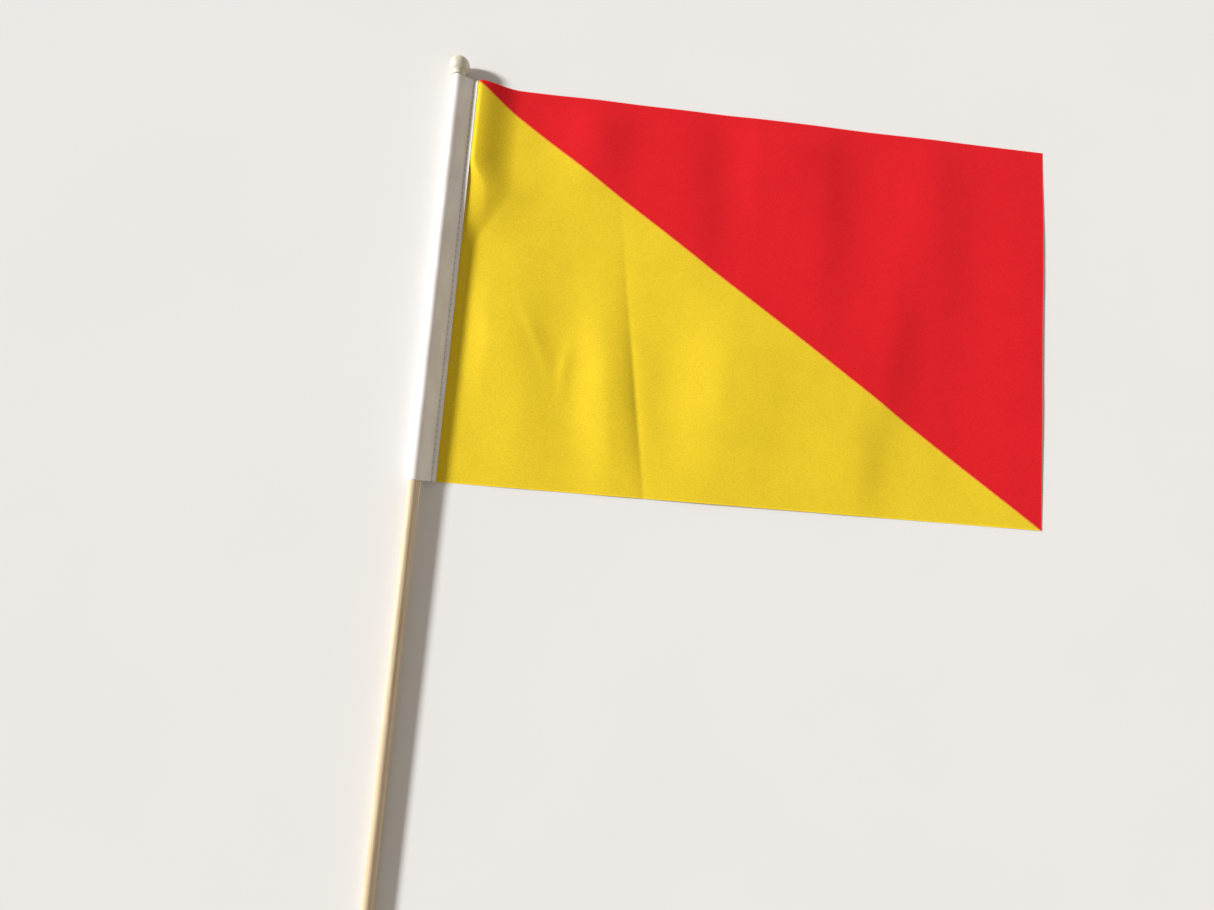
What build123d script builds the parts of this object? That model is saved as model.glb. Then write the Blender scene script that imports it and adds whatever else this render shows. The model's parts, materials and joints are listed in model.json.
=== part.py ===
from build123d import *
import os
from math import acos, asin, atan2, cos, degrees, hypot, sin

# A hand signal flag lying on a table: a printed cloth, a white fabric sleeve sewn along its hoist
# edge, and a wooden stick with a moulded ball on top. The sleeve is a pocket that turns on the stick.
# +X runs from the stick to the fly edge, +Y up the stick to the ball, and +Z up from the table.
# The origin is the middle of the whole footprint, on the table. Millimetres.

# Driving dimensions
STICK_LENGTH = 600.0
STICK_RADIUS = 4.0
STICK_END_ROUNDING = 0.6
BALL_RADIUS = 7.5
COLLAR_RADIUS = 5.0
COLLAR_HEIGHT = 2.4
SOCKET_DEPTH = 10.0
SOCKET_CLEARANCE = 0.02
GLUE_THICKNESS = 0.6
HOIST = 300.0  # height of the cloth and of the sleeve
CLOTH_CUT = 450.0  # length of the cloth as cut, seam margin included
CLOTH_THICKNESS = 0.2
TAPE_THICKNESS = 0.4
SLEEVE_GAP = 0.5  # play between the sleeve's top and the ball's collar
WRAP_CLEARANCE = 0.15  # radial play between the sleeve and the stick
SEAM_START = 10.6  # from the stick's centre to where the two flaps meet
SEAM_END = 14.3  # from the stick's centre to the flaps' edges
SEAM_DROOP = 0.345  # radians by which the sleeve's edge hangs below level
FOLD_OFFSET = 1.5  # from the flaps' edges to the line where the cloth folds
MARGIN_SHORT = 0.5  # play between the sewn margin and the free cloth
STITCH_PITCH = 4.4
STITCH_LENGTH = 3.7
STITCH_WIDTH = 0.36
STITCH_HEIGHT = 0.25
STITCH_INSET = 3.0  # from the flaps' edges to the stitch line

# Stations up the stick, from its lower end
socket_mouth = STICK_LENGTH - SOCKET_DEPTH
collar_top = socket_mouth + COLLAR_HEIGHT
ball_seat = (BALL_RADIUS**2 - COLLAR_RADIUS**2) ** 0.5
ball_centre = collar_top + ball_seat
sleeve_top = socket_mouth - SLEEVE_GAP
sleeve_middle = sleeve_top - HOIST / 2

# The ball is thicker than the stick, so the stick leans: it rests on the ball and on its lower end.
lean = asin((BALL_RADIUS - STICK_RADIUS) / (ball_centre - STICK_END_ROUNDING))
right = Vector(1, 0, 0)
up_stick = Vector(0, cos(lean), sin(lean))
above = Vector(0, -sin(lean), cos(lean))
to_seam = right * cos(SEAM_DROOP) - above * sin(SEAM_DROOP)
off_seam = right * sin(SEAM_DROOP) + above * cos(SEAM_DROOP)

# The free cloth starts at the fold line and ends at the fly edge.
fold_reach = SEAM_END + FOLD_OFFSET
free_cloth = CLOTH_CUT - (fold_reach - SEAM_START)
fly_edge = fold_reach * cos(SEAM_DROOP) + free_cloth

# The footprint's middle is the origin, so the stick's lower end stands off from it.
footprint_top = ball_centre * cos(lean) + BALL_RADIUS
stick_foot = Vector(
    (BALL_RADIUS - fly_edge) / 2,
    -footprint_top / 2,
    BALL_RADIUS - ball_centre * sin(lean),
)


def on_stick(station):
    """The point on the stick's centre line at a distance up from its lower end."""
    return stick_foot + up_stick * station


def across(station, towards=right):
    """The plane across the stick there, with local X along `towards`; it faces down the stick."""
    return Plane(origin=on_stick(station), x_dir=towards, z_dir=-up_stick)


# Stick: a straight dowel with eased ends
with BuildPart() as stick:
    with BuildSketch(across(STICK_LENGTH)):
        Circle(STICK_RADIUS)
    extrude(amount=STICK_LENGTH)
    fillet(stick.edges().filter_by(GeomType.CIRCLE), STICK_END_ROUNDING)

# Finial: a ball with a short collar and a blind socket for the stick
with BuildPart() as finial:
    with BuildSketch(Plane(origin=on_stick(ball_centre), x_dir=right, z_dir=above)):
        with BuildLine():
            collar_foot = -ball_seat - COLLAR_HEIGHT
            socket_end = collar_foot + SOCKET_DEPTH + GLUE_THICKNESS
            socket_radius = STICK_RADIUS + SOCKET_CLEARANCE
            RadiusArc((COLLAR_RADIUS, -ball_seat), (0, BALL_RADIUS), -BALL_RADIUS)
            Polyline(
                (0, BALL_RADIUS),
                (0, socket_end),
                (socket_radius, socket_end),
                (socket_radius, collar_foot),
                (COLLAR_RADIUS, collar_foot),
                (COLLAR_RADIUS, -ball_seat),
            )
        make_face()
    revolve(axis=Axis(tuple(on_stick(ball_centre)), tuple(up_stick)))

# Finial glue: the drop that fills the socket beyond the end of the stick
with BuildPart() as finial_glue:
    with BuildSketch(across(STICK_LENGTH + GLUE_THICKNESS)):
        Circle(STICK_RADIUS - STICK_END_ROUNDING)
    extrude(amount=GLUE_THICKNESS)

# Sleeve: one strip of tape folded round the stick, its two edges clasping the cloth
flap_offset = (CLOTH_THICKNESS + TAPE_THICKNESS) / 2
wrap_radius = STICK_RADIUS + WRAP_CLEARANCE + TAPE_THICKNESS / 2
touch_angle = atan2(flap_offset, SEAM_START) + acos(wrap_radius / hypot(SEAM_START, flap_offset))
touch = (wrap_radius * cos(touch_angle), wrap_radius * sin(touch_angle))
with BuildPart() as sleeve:
    with BuildSketch(across(sleeve_top, to_seam)):
        with BuildLine():
            Polyline((SEAM_END, flap_offset), (SEAM_START, flap_offset), touch)
            CenterArc((0, 0), wrap_radius, degrees(touch_angle), 360 - 2 * degrees(touch_angle))
            Polyline((touch[0], -touch[1]), (SEAM_START, -flap_offset), (SEAM_END, -flap_offset))
            offset(amount=TAPE_THICKNESS / 2, mode=Mode.REPLACE)
        make_face()
    extrude(amount=HOIST)

# Hoist margin: the strip of cloth that is sewn fast between the flaps
with BuildPart() as hoist_margin:
    with BuildSketch(across(sleeve_top, to_seam)):
        with Locations(((SEAM_START + fold_reach - MARGIN_SHORT) / 2, 0)):
            Rectangle(fold_reach - MARGIN_SHORT - SEAM_START, CLOTH_THICKNESS)
    extrude(amount=HOIST)

# Seam threads: a row of lock stitches, the needle thread on top and the bobbin thread below
stitches = int(HOIST / STITCH_PITCH)
stitch_line = on_stick(sleeve_middle) + to_seam * (SEAM_END - STITCH_INSET)
flap_face = flap_offset + TAPE_THICKNESS / 2


def seam_side(outwards):
    """The plane on one outer face of the seam, with local X along the stitch line."""
    return Plane(origin=stitch_line + outwards * flap_face, x_dir=up_stick, z_dir=outwards)


with BuildPart() as needle_thread:
    with BuildSketch(seam_side(off_seam)):
        with GridLocations(STITCH_PITCH, 0, stitches, 1):
            SlotOverall(STITCH_LENGTH, STITCH_WIDTH)
    extrude(amount=STITCH_HEIGHT)

with BuildPart() as bobbin_thread:
    with BuildSketch(seam_side(-off_seam)):
        with GridLocations(STITCH_PITCH, 0, stitches, 1):
            SlotOverall(STITCH_LENGTH, STITCH_WIDTH)
    extrude(amount=STITCH_HEIGHT)

# Cloth: the free part of the flag, from the fold line to the fly edge
fold_line = on_stick(sleeve_middle) + to_seam * fold_reach
with BuildPart() as cloth:
    with BuildSketch(Plane(origin=fold_line + right * (free_cloth / 2), x_dir=right, z_dir=above)):
        Rectangle(free_cloth, HOIST)
    extrude(amount=CLOTH_THICKNESS / 2, both=True)

pieces = {
    "stick": stick.part,
    "finial": finial.part,
    "finial_glue": finial_glue.part,
    "sleeve": sleeve.part,
    "hoist_margin": hoist_margin.part,
    "needle_thread": needle_thread.part,
    "bobbin_thread": bobbin_thread.part,
    "cloth": cloth.part,
}
os.makedirs("parts", exist_ok=True)
for name, piece in pieces.items():
    piece.label = name
    export_step(piece, f"parts/{name}.step")

whole = Compound(children=list(pieces.values())).bounding_box()
print("lean in degrees", degrees(lean), "stitches", stitches)
print("box low", whole.min, "high", whole.max)
print("joint axes point along", -up_stick)
print("swivel axis through", on_stick(sleeve_middle))
print("fold axis through", fold_line)
print("lower end of the stick", on_stick(0))
print("middle of the grip", on_stick((sleeve_top - HOIST) / 2))
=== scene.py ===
import bmesh
import bpy
import json
import numpy as np
from math import acos, atan2, cos, exp, hypot, pi, radians, sin
from mathutils import Euler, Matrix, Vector, noise


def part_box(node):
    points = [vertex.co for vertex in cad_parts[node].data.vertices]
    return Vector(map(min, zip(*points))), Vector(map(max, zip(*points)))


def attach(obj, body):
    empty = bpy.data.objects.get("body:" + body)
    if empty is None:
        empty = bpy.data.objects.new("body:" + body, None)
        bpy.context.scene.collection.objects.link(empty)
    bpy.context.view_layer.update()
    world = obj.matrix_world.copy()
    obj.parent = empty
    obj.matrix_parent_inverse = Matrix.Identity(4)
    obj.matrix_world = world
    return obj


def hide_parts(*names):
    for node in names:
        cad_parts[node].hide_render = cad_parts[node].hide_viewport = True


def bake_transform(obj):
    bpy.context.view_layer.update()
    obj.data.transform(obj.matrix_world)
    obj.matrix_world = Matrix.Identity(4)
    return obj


# The looks of a hand signal flag that lies on a table: a printed cloth, a white sleeve sewn along
# its hoist edge, and a wooden stick with a moulded ball on top. Metres, in the CAD's frame.
# A station is a distance up the stick from the middle of the sleeve.

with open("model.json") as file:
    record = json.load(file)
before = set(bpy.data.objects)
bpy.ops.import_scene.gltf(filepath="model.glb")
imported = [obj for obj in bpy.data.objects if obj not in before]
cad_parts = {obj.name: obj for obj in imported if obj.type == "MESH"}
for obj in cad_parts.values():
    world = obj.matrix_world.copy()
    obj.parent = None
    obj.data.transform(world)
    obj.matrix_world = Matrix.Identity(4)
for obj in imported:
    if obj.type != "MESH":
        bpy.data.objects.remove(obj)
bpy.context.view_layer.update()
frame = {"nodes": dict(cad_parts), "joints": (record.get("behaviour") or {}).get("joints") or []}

MM = 0.001

# Real sizes, as in the CAD
HOIST = 300 * MM
CLOTH_CUT = 450 * MM
SOCKET_DEPTH = 10 * MM
COLLAR_RADIUS = 5 * MM
SEAM_START = 10.6 * MM  # from the stick's centre line to where the flaps meet
SEAM_END = 14.3 * MM  # from the stick's centre line to the flaps' edges
SEAM_DROOP = 0.345  # radians by which the seam hangs below level
STITCH_LINE = 11.3 * MM  # from the stick's centre line
STITCH_PITCH = 4.4 * MM

# Sizes that are for the looks alone
TAPE_THICKNESS = 0.36 * MM
WRAP_CLEARANCE = 0.12 * MM  # between the sleeve and the stick
HALF_GAP = 0.3 * MM  # from the seam's middle to the middle of each flap's thickness
THREAD_RADIUS = 0.17 * MM
CLOTH_LIFT = 0.12 * MM  # where flat cloth lies above the table

MARGIN = SEAM_END - SEAM_START  # the strip of cloth inside the seam

# The frame's own lines
joints = {joint["name"]: joint for joint in frame["joints"]}
swivel = Vector(joints["sleeve_swivel"]["pos_m"])
up_stick = -Vector(joints["sleeve_swivel"]["axis"]).normalized()
right = Vector((1, 0, 0))
above = right.cross(up_stick)
stick_low, stick_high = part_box("stick")
finial_low, finial_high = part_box("finial")
STICK_RADIUS = (stick_high.x - stick_low.x) / 2
BALL_RADIUS = (finial_high.x - finial_low.x) / 2


def smooth(t):
    """0 below 0, 1 above 1, and a smooth step between them."""
    t = min(max(t, 0.0), 1.0)
    return t * t * (3 - 2 * t)


def bell(x):
    """1 at 0, and falling smoothly to nearly 0 at 3 on either side."""
    return exp(-0.5 * x * x)


def on_axis(station):
    """A point on the stick's centre line."""
    return swivel + up_stick * station


# ---------------------------------------------------------------- meshes


def ring_mesh(name, rings):
    """A mesh through equal rings of points, with quads between them and a face over each end."""
    size = len(rings[0])
    verts = [point for ring in rings for point in ring]
    faces = []
    for row in range(len(rings) - 1):
        for i in range(size):
            j = (i + 1) % size
            a = row * size
            b = a + size
            faces.append((a + i, a + j, b + j, b + i))
    faces.append(tuple(reversed(range(size))))
    faces.append(tuple(range(len(verts) - size, len(verts))))
    mesh = bpy.data.meshes.new(name)
    mesh.from_pydata([tuple(v) for v in verts], [], faces)
    return finished(name, mesh)


def finished(name, mesh):
    """An object in the scene with this mesh, its normals outwards and its faces smooth."""
    work = bmesh.new()
    work.from_mesh(mesh)
    bmesh.ops.recalc_face_normals(work, faces=work.faces)
    work.to_mesh(mesh)
    work.free()
    mesh.polygons.foreach_set("use_smooth", [True] * len(mesh.polygons))
    piece = bpy.data.objects.new(name, mesh)
    bpy.context.scene.collection.objects.link(piece)
    return piece


def store(piece, attribute, values):
    """Keeps one number for each vertex, for the material to read."""
    layer = piece.data.attributes.new(attribute, "FLOAT", "POINT")
    layer.data.foreach_set("value", np.array(values, np.float32))


def circle(centre, x_dir, y_dir, radius, count, stand_out=None):
    """Points round a circle; stand_out gives how far each one is moved out, by its angle."""
    points = []
    for i in range(count):
        angle = 2 * pi * i / count
        r = radius + (stand_out(angle) if stand_out else 0.0)
        points.append(centre + x_dir * (r * cos(angle)) + y_dir * (r * sin(angle)))
    return points


# ---------------------------------------------------------------- stick


def grain_at(angle, station):
    """How far the grain moves the dowel's surface out. Under the sleeve it only moves it in."""
    depth = 0.05 * MM
    sanded_off = 0.02 * MM
    covered_from = -HOIST / 2 - 4 * MM
    grain = depth * noise.noise(Vector((cos(angle) * 2.2, sin(angle) * 2.2, station * 9)))
    if station > covered_from:
        return min(grain, 0)
    return grain - sanded_off


def make_stick():
    """A dowel with rounded ends and shallow grooves along its grain."""
    sides = 48
    low = (stick_low.y - swivel.y) / up_stick.y
    high = (finial_low.y - swivel.y) / up_stick.y + SOCKET_DEPTH
    rounding = 0.7 * MM
    step = 3 * MM

    def radius_at(station):
        inward = rounding - min(station - low, high - station, rounding)
        return STICK_RADIUS - rounding + (rounding**2 - inward**2) ** 0.5

    arc = [rounding * (1 - cos(pi / 2 * i / 5)) for i in range(6)]
    stations = [low + height for height in arc]
    stations += [low + step * i for i in range(1, int((high - low) / step))]
    stations += [high - height for height in reversed(arc)]
    rings = []
    for station in stations:

        def grain(angle, station=station):
            return grain_at(angle, station)

        rings.append(circle(on_axis(station), right, above, radius_at(station), sides, grain))
    return ring_mesh("stick_dowel", rings)


# ---------------------------------------------------------------- finial


def finial_profile():
    """Radius and height from the ball's centre, from inside the socket round to the ball's top."""
    socket_radius = STICK_RADIUS + 0.02 * MM
    foot = (finial_low.y - finial_high.y) / up_stick.y + BALL_RADIUS
    profile = [
        (socket_radius, foot + 9 * MM),
        (socket_radius, foot + 4 * MM),
        (socket_radius, foot + 0.3 * MM),
        (socket_radius + 0.25 * MM, foot + 0.02 * MM),
        (COLLAR_RADIUS - 0.4 * MM, foot),
        (COLLAR_RADIUS - 0.1 * MM, foot + 0.12 * MM),
        (COLLAR_RADIUS, foot + 0.45 * MM),
        (COLLAR_RADIUS - 0.08 * MM, foot + 1.3 * MM),
    ]
    skin = BALL_RADIUS - 0.05 * MM
    parting_height = 0.05 * MM
    gate_depth = 0.18 * MM
    seat = -((BALL_RADIUS**2 - COLLAR_RADIUS**2) ** 0.5)
    start = atan2(seat + 0.35 * MM, COLLAR_RADIUS + 0.12 * MM)
    steps = 40
    for i in range(steps):
        angle = start + (pi / 2 - start) * i / steps
        parting_line = parting_height * bell(angle / 0.03)
        gate_mark = gate_depth * bell((pi / 2 - angle) / 0.12)
        radius = skin + parting_line - gate_mark
        profile.append((radius * cos(angle), radius * sin(angle)))
    return profile + [(0.02 * MM, skin - gate_depth)]


def make_finial():
    """A moulded ball with a short collar, a parting line round it and the gate mark on its top."""
    sides = 64
    centre = on_axis((finial_high.y - BALL_RADIUS - swivel.y) / up_stick.y)
    rings = []
    for radius, height in finial_profile():
        rings.append(circle(centre + up_stick * height, right, above, radius, sides))
    return ring_mesh("finial_ball", rings)


# ---------------------------------------------------------------- sleeve


def droop_at(station):
    """How far the seam hangs below level, in radians: it is held up higher near the ball."""
    lift = 0.17
    lift_start = -10 * MM
    lift_run = 95 * MM
    return SEAM_DROOP - lift * smooth((station - lift_start) / lift_run)


def seam_axes(station):
    """The directions towards the seam and square to it there."""
    droop = droop_at(station)
    to_seam = right * cos(droop) - above * sin(droop)
    off_seam = right * sin(droop) + above * cos(droop)
    return to_seam, off_seam


def in_section(station, x, y):
    """A point of the sleeve's section there: x towards the seam's edge, y off the seam."""
    to_seam, off_seam = seam_axes(station)
    return on_axis(station) + to_seam * x + off_seam * y


def dip_at(station, x):
    """0 to 1: how deep the thread pulls the tape in. It is deepest at each needle hole."""
    width = 0.5 * MM
    between_holes = 0.25
    hole = (0.5 + 0.5 * cos(2 * pi * station / STITCH_PITCH)) ** 5
    return bell((x - STITCH_LINE) / width) * (between_holes + (1 - between_holes) * hole)


def curl_at(station, x):
    """How far the top flap's edge stands up outside the stitches, most of all near the ball."""
    least = 0.1 * MM
    more_near_ball = 1.15 * MM
    wave_height = 0.12 * MM
    out = max(x - STITCH_LINE, 0.0) / (SEAM_END - STITCH_LINE)
    near_ball = smooth((station + 40 * MM) / (150 * MM))
    wave = wave_height * noise.noise(Vector((station * 55, 3.1, 0)))
    return (least + more_near_ball * near_ball + wave) * out**1.6


def tape_path():
    """The folded tape's centre line in section, from the top flap's edge round to the lower one."""
    radius = STICK_RADIUS + WRAP_CLEARANCE + TAPE_THICKNESS / 2
    touch = atan2(HALF_GAP, SEAM_START) + acos(radius / hypot(SEAM_START, HALF_GAP))
    top = [(SEAM_END - MARGIN * i / 14, HALF_GAP) for i in range(15)]
    bulge = 0.25 * MM
    for i in range(1, 9):
        t = i / 9
        x = SEAM_START + (radius * cos(touch) - SEAM_START) * t
        y = HALF_GAP + (radius * sin(touch) - HALF_GAP) * t
        top.append((x, y + bulge * sin(pi * t)))
    wrap = []
    for i in range(25):
        angle = touch + 2 * (pi - touch) * i / 24
        wrap.append((radius * cos(angle), radius * sin(angle)))
    return top + wrap + [(x, -y) for x, y in reversed(top)]


def soften(path, rounds):
    """The path with its corners eased: each point moves towards the middle of its neighbours."""
    for _ in range(rounds):
        eased = [
            ((a[0] + 2 * b[0] + c[0]) / 4, (a[1] + 2 * b[1] + c[1]) / 4)
            for a, b, c in zip(path, path[1:], path[2:])
        ]
        path = [path[0], *eased, path[-1]]
    return path


def tape_section(path, row, station, fray):
    """The tape's outer points, its inner points, and how deep each outer point is pulled in."""
    dip_depth = 0.22 * MM
    slack_depth = 0.05 * MM
    last = len(path) - 1
    outer = []
    inner = []
    dips = []
    for i, (x, y) in enumerate(path):
        before = path[max(i - 1, 0)]
        after = path[min(i + 1, last)]
        dx = after[0] - before[0]
        dy = after[1] - before[1]
        length = hypot(dx, dy)
        nx = dy / length
        ny = -dx / length
        dip = dip_at(station, x)
        if y > 0:
            y += curl_at(station, x)
        slack = slack_depth * abs(noise.noise(Vector((x * 160, y * 160, station * 40))))
        frayed = station + fray * noise.noise(Vector((x * 3000, y * 3000, row)))
        out = TAPE_THICKNESS / 2 - dip_depth * dip - slack
        outer.append(in_section(frayed, x + nx * out, y + ny * out))
        back = -TAPE_THICKNESS / 2 - slack
        inner.append(in_section(frayed, x + nx * back, y + ny * back))
        dips.append(dip)
    return outer, inner, dips


def make_sleeve():
    """The tape as one thick folded strip, pulled in along its stitches and loose at its edges."""
    path = soften(tape_path(), 2)
    rows_per_stitch = 6
    rows = int(HOIST / STITCH_PITCH * rows_per_stitch)
    rings = []
    dips = []
    for row in range(rows + 1):
        station = HOIST * (row / rows - 0.5)
        fray = 0.25 * MM if row in (0, rows) else 0.0
        outer, inner, outer_dips = tape_section(path, row, station, fray)
        rings.append(outer + inner[::-1])
        dips += outer_dips + [0.0] * len(inner)
    sleeve = ring_mesh("sleeve_tape", rings)
    # The dips also mark where the tape's material paints shade along the stitches.
    store(sleeve, "dip", dips)
    return sleeve


# ---------------------------------------------------------------- seam threads


def stitch_rings(number, middle, side, sides):
    """Rings along one stitch, which rises out of one needle hole and goes down into the next."""
    length = STITCH_PITCH * 0.84
    top = HALF_GAP + TAPE_THICKNESS / 2 + 0.10 * MM
    sink = 0.5 * MM
    steepest = 0.96
    steps = 12
    rings = []
    for i in range(steps + 1):
        t = i / steps
        end = abs(2 * t - 1)
        station = middle + (t - 0.5) * length
        sideways = 0.05 * MM * noise.noise(Vector((number * 1.7, t, side)))
        height = top - sink * end**4
        centre = in_section(station, STITCH_LINE + sideways, side * height)
        to_seam, off_seam = seam_axes(station)
        slope = steepest * end**3 * (-1 if t > 0.5 else 1)
        along = (up_stick + off_seam * (slope * side)).normalized()
        across = along.cross(to_seam).normalized()
        rings.append(circle(centre, to_seam, across, THREAD_RADIUS, sides))
    return rings


def make_stitches(name, side):
    """A row of lock stitches, on the seam's upper side for 1 and on its lower side for -1."""
    sides = 8
    work = bmesh.new()
    count = int(HOIST / STITCH_PITCH)
    for number in range(count):
        middle = (number - (count - 1) / 2) * STITCH_PITCH
        rings = stitch_rings(number, middle, side, sides)
        verts = [[work.verts.new(point) for point in ring] for ring in rings]
        for a, b in zip(verts, verts[1:]):
            for i in range(sides):
                j = (i + 1) % sides
                work.faces.new((a[i], a[j], b[j], b[i]))
        work.faces.new(verts[0][::-1])
        work.faces.new(verts[-1])
    mesh = bpy.data.meshes.new(name)
    work.to_mesh(mesh)
    work.free()
    return finished(name, mesh)


# ---------------------------------------------------------------- cloth

# Swells of the cloth, placed from its hoist top corner: how far along the crest lies, how far down,
# its spread to the left and to the right, its spread up and down, its lean, and its height. All mm.
SWELLS = (
    (26, 192, 8, 16, 30, 0.00, 1.8),
    (54, 215, 15, 17, 48, 0.05, 2.2),
    (60, 190, 3, 5, 20, 0.40, 0.4),
    (84, 212, 3, 4, 14, 0.02, 0.6),
    (116, 226, 14, 24, 44, 0.10, 4.3),
    (203, 215, 26, 50, 54, -0.10, 5.6),
    (300, 262, 28, 13, 30, 0.02, 2.2),
    (93, 26, 17, 18, 34, 0.02, 3.0),
    (166, 60, 30, 15, 70, 0.04, 1.6),
    (218, 24, 14, 32, 46, 0.02, 2.4),
    (268, 58, 24, 14, 84, 0.03, 1.9),
    (322, 172, 30, 15, 46, -0.10, 2.6),
    (357, 62, 24, 16, 80, 0.02, 2.0),
    (432, 170, 26, 30, 90, 0.00, 1.3),
)
CREASE_TOP = (112 * MM, 70 * MM)  # along from the seam, and down from the top edge
CREASE_BOTTOM = (147 * MM, 300 * MM)


def off_crease(along, down):
    """Distance from the packing crease, positive towards the fly edge."""
    run = (down - CREASE_TOP[1]) / (CREASE_BOTTOM[1] - CREASE_TOP[1])
    return along - (CREASE_TOP[0] + run * (CREASE_BOTTOM[0] - CREASE_TOP[0]))


def swell_height(along, down):
    """The swells' height, each crest drifting a little to either side on its way down."""
    most_drift = 4.5
    height = 0.0
    for crest, middle, left, right_side, tall, lean, top in SWELLS:
        drift = most_drift * noise.noise(Vector((crest, down * 24, 0.7)))
        off = along / MM - crest - lean * (down / MM - middle) - drift
        spread = left if off < 0 else right_side
        height += top * MM * bell(off / spread) * bell((down / MM - middle) / tall)
    return height


def ruffle_height(along, down):
    """Shallow uneven bumps all over the cloth, which grow away from the seam."""
    broad = noise.noise(Vector((along * 14, down * 9, 0.4)))
    fine = noise.noise(Vector((along * 70, down * 45, 2.2)))
    height = 0.7 * MM * max(broad + 0.15, 0) + 0.08 * MM * (fine + 0.6)
    return height * smooth(along / (45 * MM))


def crease_share(along, down):
    """1 away from the crease and down to a half in it, where the cloth is nearer to the table."""
    off = off_crease(along, down)
    depth = 0.5 * smooth((down - CREASE_TOP[1]) / (60 * MM))
    reach = 6 * MM if off < 0 else 9 * MM
    return 1 - depth * exp(-abs(off) / reach)


def ridge_height(along, down, near_top):
    """The ridge beside the seam near the ball, which moves off the seam and widens on its way down."""
    lower = smooth((down - 60 * MM) / (26 * MM))
    crest = (4 + 12 * lower) * MM
    narrowest = 3 if along < crest else 11
    spread = (narrowest + 4 * lower) * MM
    return 3 * MM * near_top * bell((along - crest) / spread)


def cloth_height(along, down, seam_height):
    """The cloth's height above the table, by its place along from the seam and down from the top."""
    near_top = 1 - smooth((down - 75 * MM) / (60 * MM))
    slope_run = (8 + 25 * near_top) * MM
    hang = (seam_height - CLOTH_LIFT) * (1 - smooth(along / slope_run))
    free = smooth(along / (14 * MM)) * (0.35 + 0.65 * smooth(down / (22 * MM)))
    lying = (swell_height(along, down) + ruffle_height(along, down)) * crease_share(along, down)
    pucker = 0.16 * MM * noise.noise(Vector((down * 420, along * 60, 9))) * bell(along / (7 * MM))
    pucker *= smooth(along / (1 * MM))
    return CLOTH_LIFT + hang + ridge_height(along, down, near_top) + free * lying + pucker


def cloth_columns():
    """Distances from the cut hoist edge of the grid's columns, which are closest beside the seam."""
    near_spacing = 0.6 * MM
    far_spacing = 1.25 * MM
    inside = [MARGIN * i / 3 for i in range(3)]
    near = [MARGIN + near_spacing * i for i in range(60)]
    rest = CLOTH_CUT - near[-1]
    count = int(rest / far_spacing)
    return inside + near + [near[-1] + rest * i / count for i in range(1, count + 1)]


def cloth_point(reach, up):
    """A point of the cloth, by its distance from the cut hoist edge and its height on the hoist."""
    station = up - HOIST / 2
    if reach <= MARGIN:
        return in_section(station, SEAM_START + reach, 0)
    edge = in_section(station, SEAM_END, 0)
    along = reach - MARGIN
    return Vector((edge.x + along, edge.y, cloth_height(along, HOIST - up, edge.z)))


def make_cloth():
    """One sheet from inside the seam to the fly edge, which keeps its flat cut as a UV map."""
    columns = cloth_columns()
    wide = len(columns)
    rows = 240
    verts = []
    places = []
    for row in range(rows + 1):
        up = HOIST * row / rows
        for reach in columns:
            verts.append(tuple(cloth_point(reach, up)))
            places.append((reach / CLOTH_CUT, up / HOIST))
    faces = []
    for row in range(rows):
        for i in range(wide - 1):
            a = row * wide + i
            faces.append((a, a + 1, a + wide + 1, a + wide))
    mesh = bpy.data.meshes.new("flag_cloth")
    mesh.from_pydata(verts, [], faces)
    layer = mesh.uv_layers.new(name="flat_cut")
    loops = np.zeros(len(mesh.loops), np.int32)
    mesh.loops.foreach_get("vertex_index", loops)
    layer.data.foreach_set("uv", np.array(places, np.float32)[loops].ravel())
    return finished("flag_cloth", mesh)


# ---------------------------------------------------------------- materials


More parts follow.
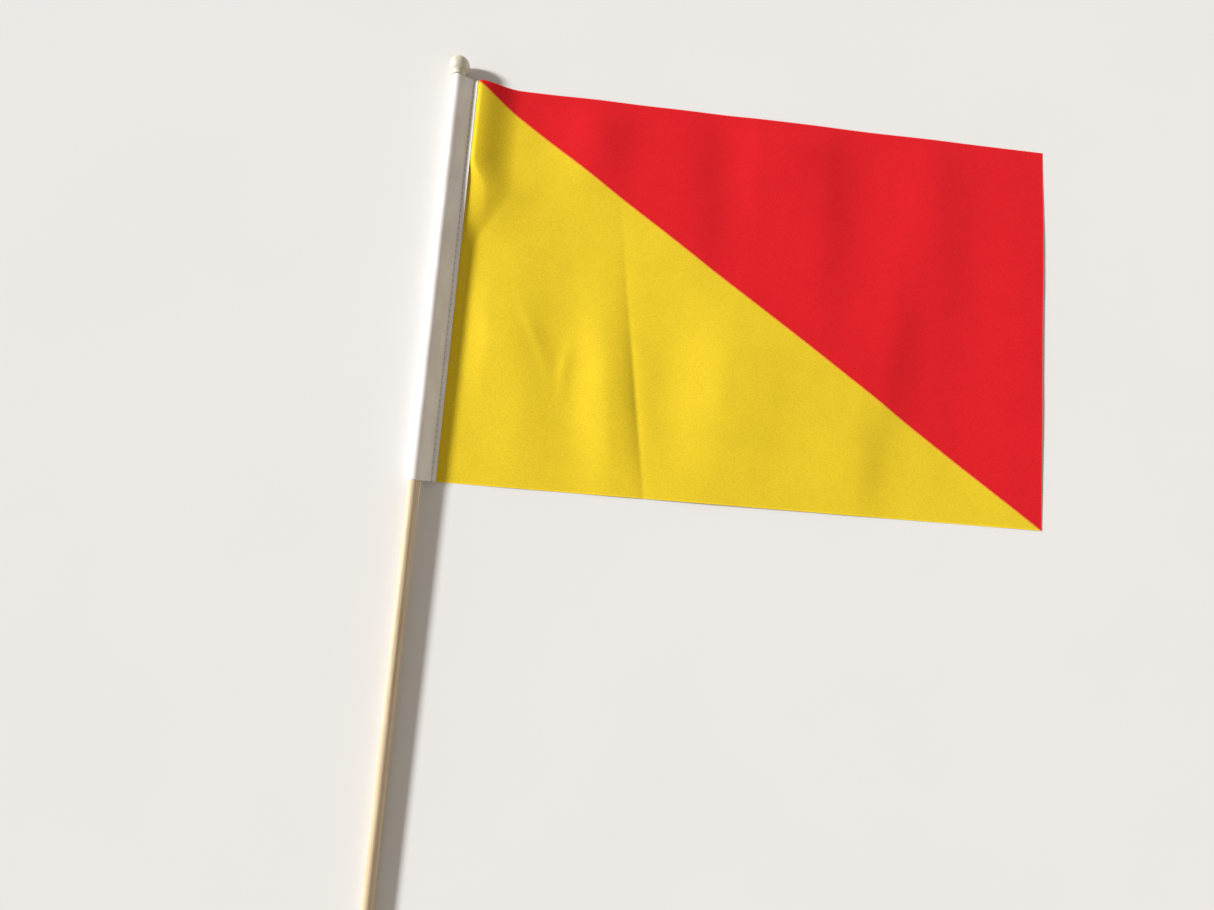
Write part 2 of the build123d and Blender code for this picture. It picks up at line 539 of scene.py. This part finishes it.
class Graph:
    """A material's nodes, with one short call for each kind of node that the materials here use."""

    def __init__(self, name):
        self.material = bpy.data.materials.new(name)
        self.material.use_nodes = True
        self.nodes = self.material.node_tree.nodes
        self.links = self.material.node_tree.links
        self.shader = self.nodes["Principled BSDF"]
        self.place = self.nodes.new("ShaderNodeTexCoord").outputs["Object"]

    def feed(self, socket, value):
        """Gives a socket its value: a link from another socket, or a plain number or colour."""
        if isinstance(value, bpy.types.NodeSocket):
            self.links.new(value, socket)
        else:
            socket.default_value = value

    def math(self, operation, a, b=0.0, clamp=False):
        node = self.nodes.new("ShaderNodeMath")
        node.operation = operation
        node.use_clamp = clamp
        self.feed(node.inputs[0], a)
        self.feed(node.inputs[1], b)
        return node.outputs[0]

    def mapped(self, scale=(1, 1, 1), turn=0.0, source=None):
        """The place, or the source given, with its axes scaled and turned about Z by degrees."""
        node = self.nodes.new("ShaderNodeMapping")
        node.inputs["Scale"].default_value = scale
        node.inputs["Rotation"].default_value = (0, 0, radians(turn))
        self.links.new(source or self.place, node.inputs["Vector"])
        return node.outputs[0]

    def noise(self, place, scale=1.0, detail=3.0, rough=0.55):
        node = self.nodes.new("ShaderNodeTexNoise")
        node.inputs["Scale"].default_value = scale
        node.inputs["Detail"].default_value = detail
        node.inputs["Roughness"].default_value = rough
        self.links.new(place, node.inputs["Vector"])
        return node.outputs["Fac"]

    def wave(self, place, scale, direction, distortion):
        node = self.nodes.new("ShaderNodeTexWave")
        node.bands_direction = direction
        node.inputs["Scale"].default_value = scale
        node.inputs["Distortion"].default_value = distortion
        self.links.new(place, node.inputs["Vector"])
        return node.outputs["Fac"]

    def ramp(self, factor, stops, interpolation="EASE"):
        """Colours by a factor from 0 to 1, given as pairs of a position and a colour."""
        node = self.nodes.new("ShaderNodeValToRGB")
        ramp = node.color_ramp
        ramp.interpolation = interpolation
        while len(ramp.elements) < len(stops):
            ramp.elements.new(0.5)
        for element, (position, colour) in zip(ramp.elements, stops):
            element.position = position
            element.color = colour
        self.links.new(factor, node.inputs[0])
        return node.outputs[0]

    def mix(self, factor, a, b, blend_type="MIX"):
        node = self.nodes.new("ShaderNodeMix")
        node.data_type = "RGBA"
        node.blend_type = blend_type
        self.feed(node.inputs[0], factor)
        self.feed(node.inputs[6], a)
        self.feed(node.inputs[7], b)
        return node.outputs[2]

    def darkened(self, colour, share):
        """The colour with this share of its light taken away."""
        return self.mix(share, colour, grey(0.0), "MULTIPLY")

    def attribute(self, name):
        node = self.nodes.new("ShaderNodeAttribute")
        node.attribute_name = name
        return node.outputs["Fac"]

    def bump(self, height, distance, strength):
        node = self.nodes.new("ShaderNodeBump")
        node.inputs["Strength"].default_value = strength
        node.inputs["Distance"].default_value = distance
        self.links.new(height, node.inputs["Height"])
        return node.outputs[0]

    def finish(self, **sockets):
        """Feeds the shader's sockets, named with underscores for spaces."""
        for name, value in sockets.items():
            self.feed(self.shader.inputs[name.replace("_", " ")], value)
        return self.material


def srgb(red, green, blue):
    """A colour as a screen shows it, from 0 to 255, as the linear colour that shaders take."""
    parts = [c / 255 for c in (red, green, blue)]
    return tuple(c / 12.92 if c <= 0.04045 else ((c + 0.055) / 1.055) ** 2.4 for c in parts) + (1.0,)


def grey(value):
    return (value, value, value, 1.0)


def wood_material():
    """Pale unvarnished hardwood: long fine grain, short pores and a little handling dirt."""
    g = Graph("pale_wood")
    grain = g.noise(g.mapped((900, 14, 900)), 1.0, 5.0, 0.6)
    pores = g.noise(g.mapped((2600, 90, 2600)), 1.0, 2.0, 0.5)
    dirt = g.noise(g.mapped((60, 5, 60)), 1.0, 2.0)
    base = g.ramp(
        grain,
        [
            (0.28, srgb(194, 168, 132)),
            (0.5, srgb(212, 193, 162)),
            (0.72, srgb(221, 206, 179)),
        ],
    )
    base = g.mix(g.ramp(pores, [(0.3, grey(0.35)), (0.46, grey(0.0))]), base, srgb(164, 130, 93))
    base = g.mix(g.ramp(dirt, [(0.45, grey(0.0)), (0.75, grey(0.3))]), base, srgb(196, 166, 126))
    height = g.math("ADD", g.math("MULTIPLY", grain, 0.6), g.math("MULTIPLY", pores, 0.4))
    rough = g.math("ADD", g.math("MULTIPLY", grain, 0.2), 0.5)
    normal = g.bump(height, 0.12 * MM, 0.55)
    return g.finish(Base_Color=base, Roughness=rough, Normal=normal, Specular_IOR_Level=0.35)


def ivory_material():
    """Glossy moulded plastic, slightly cloudy, with fine handling marks."""
    g = Graph("ivory_plastic")
    cloud = g.noise(g.place, 260.0)
    marks = g.noise(g.mapped((900, 2200, 900)), 1.0, 2.0)
    base = g.ramp(
        cloud, [(0.35, srgb(200, 196, 172)), (0.55, srgb(212, 209, 189)), (0.7, srgb(220, 218, 201))]
    )
    rough = g.math("ADD", g.math("MULTIPLY", marks, 0.16), 0.2)
    return g.finish(
        Base_Color=base,
        Roughness=rough,
        Normal=g.bump(marks, 0.02 * MM, 0.4),
        Subsurface_Weight=0.12,
        Subsurface_Scale=0.002,
        Coat_Weight=0.2,
    )


def glue_material():
    """Set glue: pale amber and full of small bubbles."""
    g = Graph("set_glue")
    bubbles = g.noise(g.place, 2400.0, 2.0)
    base = g.ramp(bubbles, [(0.4, srgb(196, 168, 118)), (0.65, srgb(226, 206, 160))])
    rough = g.math("ADD", g.math("MULTIPLY", bubbles, 0.2), 0.15)
    return g.finish(Base_Color=base, Roughness=rough, Normal=g.bump(bubbles, 0.05 * MM, 0.5))


def tape_material():
    """White woven tape: a close twill, soft shade variation, and painted shade along the stitches,
    darkest in the needle holes.
    """
    g = Graph("white_tape")
    twill = g.wave(g.mapped(turn=38), 780.0, "X", 0.6)
    cross = g.wave(g.mapped(turn=-52), 620.0, "X", 0.8)
    weave = g.math("MULTIPLY", twill, g.math("ADD", g.math("MULTIPLY", cross, 0.5), 0.5))
    shade = g.noise(g.mapped((120, 34, 120)), 1.0, 4.0)
    base = g.ramp(shade, [(0.35, srgb(231, 228, 225)), (0.65, srgb(242, 240, 239))])
    base = g.mix(g.math("MULTIPLY", weave, 0.10), base, srgb(202, 199, 195))
    # Painted shade: the tape is darkened to brown-grey where the thread pulls it in, faintly all along
    # the stitch line and most in the needle holes.
    hole = g.math("POWER", g.attribute("dip"), 1.6)
    base = g.mix(g.math("MULTIPLY", hole, 0.70, True), base, srgb(92, 85, 78))
    normal = g.bump(weave, 0.06 * MM, 0.5)
    return g.finish(
        Base_Color=base, Roughness=0.82, Normal=normal, Sheen_Weight=0.25, Specular_IOR_Level=0.25
    )


def thread_material():
    """Twisted white polyester thread."""
    g = Graph("white_thread")
    twist = g.wave(g.mapped(turn=32), 2600.0, "Y", 0.5)
    fuzz = g.noise(g.place, 3200.0, 2.0)
    base = g.ramp(twist, [(0.1, srgb(190, 187, 182)), (0.6, srgb(232, 231, 229))])
    base = g.mix(g.math("MULTIPLY", fuzz, 0.2), base, srgb(220, 218, 214))
    return g.finish(
        Base_Color=base, Roughness=0.6, Normal=g.bump(twist, 0.05 * MM, 0.6), Sheen_Weight=0.2
    )


def flat_place(g):
    """The place on the cloth as cut, in mm: across it, up it, and the two as a vector."""
    flat = g.nodes.new("ShaderNodeUVMap")
    flat.uv_map = "flat_cut"
    split = g.nodes.new("ShaderNodeSeparateXYZ")
    g.links.new(flat.outputs[0], split.inputs[0])
    across = g.math("MULTIPLY", split.outputs[0], CLOTH_CUT / MM)
    up = g.math("MULTIPLY", split.outputs[1], HOIST / MM)
    both = g.nodes.new("ShaderNodeCombineXYZ")
    g.links.new(across, both.inputs[0])
    g.links.new(up, both.inputs[1])
    return across, up, both.outputs[0]


def flag_print(g, across, up, cut):
    """Red over yellow, split on the diagonal, with a thin orange line where the inks meet."""
    seam = MARGIN / MM
    run = CLOTH_CUT / MM - seam
    rise = HOIST / MM
    slant = g.math("MULTIPLY", g.math("SUBTRACT", across, seam), rise / run)
    side = g.math("SUBTRACT", g.math("ADD", up, slant), rise)
    side = g.math("MULTIPLY", side, run / hypot(run, rise))
    wander = g.math("MULTIPLY", g.math("SUBTRACT", g.noise(cut, 0.35, 2.0), 0.5), 0.5)
    side = g.math("ADD", side, wander)
    # From 5 mm on the yellow side of the diagonal to 5 mm on the red side
    border = g.math("ADD", g.math("MULTIPLY", side, 0.1), 0.5, True)
    return g.ramp(
        border,
        [
            (0.40, srgb(241, 210, 48)),
            (0.44, srgb(253, 172, 70)),
            (0.52, srgb(247, 120, 48)),
            (0.56, srgb(206, 34, 41)),
            (0.64, srgb(229, 36, 44)),
        ],
        "LINEAR",
    )


def melted_edge(g, across, up):
    """1 at the hot-cut edges, and 0 from just inside them. The places are in mm."""
    width = 1.3
    left = g.math("SUBTRACT", CLOTH_CUT / MM, across)
    top = g.math("SUBTRACT", HOIST / MM, up)
    to_edge = g.math("MINIMUM", left, g.math("MINIMUM", up, top))
    return g.math("SUBTRACT", 1.0, g.math("DIVIDE", to_edge, width), True)


def cloth_material():
    """Thin printed polyester: its print, its weave with slubs and mottle, and its hot-cut edges."""
    g = Graph("printed_polyester")
    across, up, cut = flat_place(g)
    warp = g.wave(cut, 1.15, "X", 0.35)
    weft = g.wave(cut, 1.0, "Y", 0.35)
    weave = g.math("MULTIPLY", warp, weft)
    slub = g.noise(g.mapped((0.25, 3.2, 1), source=cut))
    slub_up = g.noise(g.mapped((2.6, 0.2, 1), source=cut))
    streaks = g.math("ADD", g.math("MULTIPLY", slub, 0.55), g.math("MULTIPLY", slub_up, 0.45))
    grain = g.noise(cut, 0.8, 2.0, 0.7)
    mottle = g.noise(cut, 0.05)

    ink = flag_print(g, across, up, cut)
    ink = g.darkened(ink, g.ramp(streaks, [(0.34, grey(0.13)), (0.58, grey(0.0))]))
    ink = g.darkened(ink, g.ramp(grain, [(0.36, grey(0.10)), (0.6, grey(0.0))]))
    ink = g.darkened(ink, g.ramp(mottle, [(0.3, grey(0.03)), (0.6, grey(0.0))]))
    ink = g.darkened(ink, g.math("MULTIPLY", weave, 0.125))

    # The melted edges are glossier and a little paler
    melted = melted_edge(g, across, up)
    ink = g.mix(melted, ink, g.mix(1.0, ink, grey(1.22), "MULTIPLY"))
    rough = g.math("SUBTRACT", 0.72, g.math("MULTIPLY", melted, 0.25))

    height = g.math("ADD", g.math("MULTIPLY", weave, 0.5), g.math("MULTIPLY", streaks, 1.2))
    height = g.math("ADD", height, g.math("MULTIPLY", grain, 0.5))
    return g.finish(
        Base_Color=ink,
        Roughness=rough,
        Normal=g.bump(height, 0.05 * MM, 0.6),
        Specular_IOR_Level=0.03,
        Sheen_Weight=0.02,
        Sheen_Roughness=0.4,
    )


def table_material():
    """A plain pale matt tabletop with a very faint mottle."""
    g = Graph("pale_table")
    mottle = g.noise(g.place, 6.0)
    base = g.ramp(mottle, [(0.3, grey(0.793)), (0.7, grey(0.803))])
    return g.finish(Base_Color=base, Roughness=0.9, Specular_IOR_Level=0.0)


def paint(piece, material):
    piece.data.materials.clear()
    piece.data.materials.append(material)


# ---------------------------------------------------------------- stage, light and camera


def make_stage():
    """A tabletop that reaches to the horizon."""
    half = 60.0
    corners = [(-half, -half, 0), (half, -half, 0), (half, half, 0), (-half, half, 0)]
    mesh = bpy.data.meshes.new("table")
    mesh.from_pydata(corners, [], [(0, 1, 2, 3)])
    table = bpy.data.objects.new("table", mesh)
    bpy.context.scene.collection.objects.link(table)
    paint(table, table_material())


def make_room():
    """A plain room, as pale as the table at the horizon, and dimmer and warmer overhead."""
    world = bpy.data.worlds.new("room")
    world.use_nodes = True
    nodes = world.node_tree.nodes
    links = world.node_tree.links
    direction = nodes.new("ShaderNodeTexCoord").outputs["Generated"]
    split = nodes.new("ShaderNodeSeparateXYZ")
    links.new(direction, split.inputs[0])
    ramp = nodes.new("ShaderNodeValToRGB")
    horizon, overhead = ramp.color_ramp.elements
    horizon.position = 0.0
    horizon.color = (0.83, 0.80, 0.765, 1.0)
    overhead.position = 0.75
    overhead.color = (0.27, 0.232, 0.194, 1.0)
    links.new(split.outputs[2], ramp.inputs[0])
    links.new(ramp.outputs[0], nodes["Background"].inputs["Color"])
    bpy.context.scene.world = world


def make_window():
    """The main light: low, soft-edged and from the left."""
    elevation = radians(25)
    data = bpy.data.lights.new("window", "SUN")
    data.energy = 5.1
    data.angle = radians(8)
    data.color = (1.0, 1.0, 0.99)
    light = bpy.data.objects.new("window", data)
    towards = Vector((cos(elevation), -0.12, -sin(elevation)))
    light.rotation_euler = towards.to_track_quat("-Z", "Y").to_euler()
    bpy.context.scene.collection.objects.link(light)


def make_camera():
    """Over the flag and a little below its middle, as one holds a phone over a table."""
    corner = in_section(HOIST / 2, SEAM_END, 0)
    from_corner = Vector((91.1 * MM, -319.6 * MM))
    height = 446.8 * MM
    tilt = (radians(5.94), radians(-3.94), radians(4.46))
    data = bpy.data.cameras.new("camera")
    data.sensor_width = 36
    data.lens = 18.56
    data.clip_start = 0.01
    camera = bpy.data.objects.new("camera", data)
    camera.location = (corner.x + from_corner.x, corner.y + from_corner.y, height)
    camera.rotation_euler = Euler(tilt, "XYZ")
    bpy.context.scene.collection.objects.link(camera)
    bpy.context.scene.camera = camera


# ---------------------------------------------------------------- the scene


def add(piece, material, slot, body, *nodes):
    """Paints a piece, hides the CAD nodes that it stands for and puts it on the body it rides on. The
    slot is not used.
    """
    paint(piece, material)
    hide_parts(*nodes)
    if body:
        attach(piece, body)
    return piece


make_camera()
make_room()
make_window()
make_stage()
bpy.context.scene.view_settings.view_transform = "Standard"

thread = thread_material()
dowel = add(make_stick(), wood_material(), "stick_wood", "pole", "stick")
add(make_finial(), ivory_material(), "finial_plastic", "pole", "finial")
paint(frame["nodes"]["finial_glue"], glue_material())
sleeve = add(make_sleeve(), tape_material(), "sleeve_tape", "pocket", "sleeve")
needle = add(make_stitches("needle_stitches", 1), thread, "thread", "pocket", "needle_thread")
bobbin = add(make_stitches("bobbin_stitches", -1), thread, "thread", "pocket", "bobbin_thread")
cloth = add(make_cloth(), cloth_material(), "flag_cloth", None, "cloth", "hoist_margin")
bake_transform(cloth)
